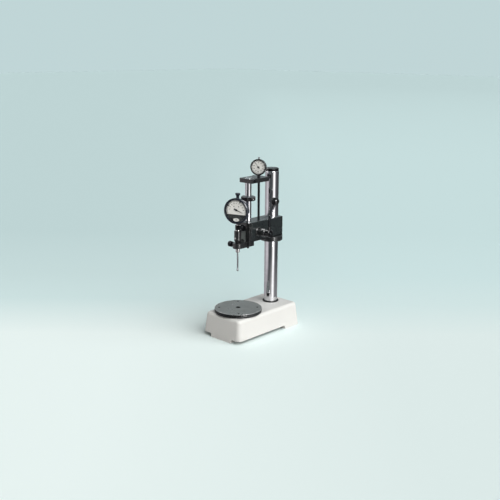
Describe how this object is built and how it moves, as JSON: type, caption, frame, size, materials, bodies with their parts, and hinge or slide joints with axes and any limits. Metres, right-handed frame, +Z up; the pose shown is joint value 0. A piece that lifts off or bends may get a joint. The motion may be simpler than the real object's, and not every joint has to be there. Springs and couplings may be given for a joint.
{
  "type": "comparator stand",
  "caption": "Comparator stand: cast base with round table, chrome column, and a lever-driven head that carries a dial comparator and a travel dial.",
  "frame": {"origin": "on the resting plane, under the middle of the base casting", "axes": "+Z up along the column, -Y towards the operator and the round table, +X towards the ball lever"},
  "size_m": [0.1316, 0.234, 0.4469],
  "materials": {
    "base_paint": "pale grey enamel, satin",
    "table_iron": "ground and lapped, dark",
    "column_chrome": "polished",
    "rod_chrome": "polished",
    "black_enamel": "black enamel, gloss",
    "black_oxide": "blackened steel",
    "black_plastic": "gloss",
    "bright_steel": "bright turned steel",
    "bronze": "bronze bush",
    "tool_steel": "ground",
    "gauge_navy": "dark blue-black enamel, gloss",
    "dial_white": "printed dial",
    "dial_black": "printed dial",
    "clear_glass": "clear"
  },
  "bodies": {
    "base": {"base_casting": "base_paint", "table": "table_iron", "table_screws": "black_oxide", "column": "column_chrome", "column_cap": "black_plastic", "column_foot_ring": "black_enamel", "column_bolt": "black_oxide"},
    "collar": {"support_collar": "black_enamel"},
    "collar_clamp": {"collar_screw": "black_oxide"},
    "head": {"head_body": "black_enamel", "head_clamp_nut": "bright_steel", "pinion_housing": "black_enamel", "pinion_bushes": "bronze", "anvil_rod": "black_oxide"},
    "head_clamp": {"head_clamp_knob": "black_plastic"},
    "lever": {"pinion_shaft": "tool_steel", "lever_hub": "black_oxide", "lever_rod": "black_oxide", "lever_ball": "black_plastic", "hub_screw": "black_oxide"},
    "slide": {"slide_rod": "rod_chrome", "top_arm": "black_enamel", "arm_screw": "black_oxide", "carriage": "black_enamel", "rod_screw": "black_oxide", "holder_screws": "bright_steel", "gauge_holder": "black_enamel", "sleeve_screw": "bright_steel", "stem_nut": "bright_steel", "stem_clamp": "black_oxide", "guide_bush": "bright_steel", "gauge_housing": "gauge_navy", "gauge_back": "gauge_navy", "gauge_stem": "bright_steel", "gauge_bezel": "gauge_navy", "gauge_dial": "dial_white", "gauge_mask": "dial_black", "gauge_crystal": "clear_glass", "zero_plate": "bright_steel", "small_housing": "black_enamel", "small_back": "bright_steel", "small_stem": "black_oxide"},
    "dial_clamp": {"dial_clamp_screw": "black_oxide"},
    "stop": {"stop_collar": "black_oxide", "stop_screw": "bright_steel"},
    "stem_clamp_knob": {"stem_knob": "black_oxide"},
    "bush_clamp_knob": {"bush_knob": "black_oxide"},
    "spindle": {"probe": "tool_steel", "probe_tip": "tool_steel", "gauge_plunger": "tool_steel", "lifting_knob": "gauge_navy"},
    "large_pointer": {"gauge_pointer": "dial_black"},
    "left_limit": {"limit_mark_left": "dial_black"},
    "right_limit": {"limit_mark_right": "dial_black"},
    "zero_adjuster": {"zero_screw": "bright_steel"},
    "small_rim": {"small_bezel": "black_enamel", "small_crystal": "clear_glass", "small_dial": "dial_white"},
    "small_hand": {"small_pointer": "dial_black"},
    "small_spindle": {"small_plunger": "tool_steel"}
  },
  "joints": [
    {"name": "head_height", "type": "slide", "parent": "base", "child": "collar", "axis": [0, 0, 1], "range_m": [-0.08, 0.1]},
    {"name": "collar_clamp_turn", "type": "hinge", "parent": "collar", "child": "collar_clamp", "pos_m": [-0.019, 0.05769, 0.234], "axis": [-0.5736, 0.8192, 0], "range_deg": [-270, 0]},
    {"name": "head_swivel", "type": "hinge", "parent": "collar", "child": "head", "pos_m": [0, 0.071, 0.2652], "axis": [0, 0, 1], "continuous": true},
    {"name": "head_clamp_turn", "type": "hinge", "parent": "head", "child": "head_clamp", "pos_m": [-0.03, 0.047, 0.2538], "axis": [-1, 0, 0], "range_deg": [-270, 0]},
    {"name": "slide_travel", "type": "slide", "parent": "head", "child": "slide", "axis": [0, 0, 1], "range_m": [-0.005, 0]},
    {"name": "lever_turn", "type": "hinge", "parent": "head", "child": "lever", "pos_m": [0.04, -0.001, 0.264], "axis": [1, 0, 0], "range_deg": [0, 29]},
    {"name": "stop_height", "type": "slide", "parent": "slide", "child": "stop", "axis": [0, 0, 1], "range_m": [-0.047, 0.03]},
    {"name": "dial_clamp_turn", "type": "hinge", "parent": "slide", "child": "dial_clamp", "pos_m": [-0.02, 0.0296, 0.3929], "axis": [-1, 0, 0], "range_deg": [-270, 0]},
    {"name": "stem_clamp_turn", "type": "hinge", "parent": "slide", "child": "stem_clamp_knob", "pos_m": [0.015, -0.055, 0.281], "axis": [1, 0, 0], "range_deg": [-270, 0]},
    {"name": "bush_clamp_turn", "type": "hinge", "parent": "slide", "child": "bush_clamp_knob", "pos_m": [-0.02, -0.055, 0.2336], "axis": [-1, 0, 0], "range_deg": [-270, 0]},
    {"name": "spindle_lift", "type": "slide", "parent": "slide", "child": "spindle", "axis": [0, 0, 1], "range_m": [0, 0.003], "stiffness_N_per_m": 200, "springref_m": -0.004},
    {"name": "large_pointer_turn", "type": "hinge", "parent": "slide", "child": "large_pointer", "pos_m": [0, -0.055, 0.32497], "axis": [0.3256, -0.9455, 0], "range_deg": [0, 216]},
    {"name": "left_limit_turn", "type": "hinge", "parent": "slide", "child": "left_limit", "pos_m": [0, -0.055, 0.3225], "axis": [0.3256, -0.9455, 0], "range_deg": [-80, 30]},
    {"name": "right_limit_turn", "type": "hinge", "parent": "slide", "child": "right_limit", "pos_m": [0, -0.055, 0.3225], "axis": [0.3256, -0.9455, 0], "range_deg": [-60, 80]},
    {"name": "zero_turn", "type": "hinge", "parent": "slide", "child": "zero_adjuster", "pos_m": [0, -0.055, 0.3003], "axis": [0.3256, -0.9455, 0], "range_deg": [-170, 170]},
    {"name": "small_rim_turn", "type": "hinge", "parent": "slide", "child": "small_rim", "pos_m": [0, 0.0212, 0.4224], "axis": [0.454, -0.891, 0], "continuous": true},
    {"name": "small_hand_turn", "type": "hinge", "parent": "slide", "child": "small_hand", "pos_m": [0, 0.0212, 0.4224], "axis": [0.454, -0.891, 0], "range_deg": [0, 362]},
    {"name": "small_spindle_lift", "type": "slide", "parent": "slide", "child": "small_spindle", "axis": [0, 0, 1], "range_m": [0, 0.0052]}
  ],
  "couplings": [
    {"joint": "lever_turn", "follows": "slide_travel", "rad_per_m": -100},
    {"joint": "small_spindle_lift", "follows": "slide_travel", "ratio": -1},
    {"joint": "small_hand_turn", "follows": "slide_travel", "rad_per_m": -1256},
    {"joint": "large_pointer_turn", "follows": "spindle_lift", "rad_per_m": 1250}
  ]
}
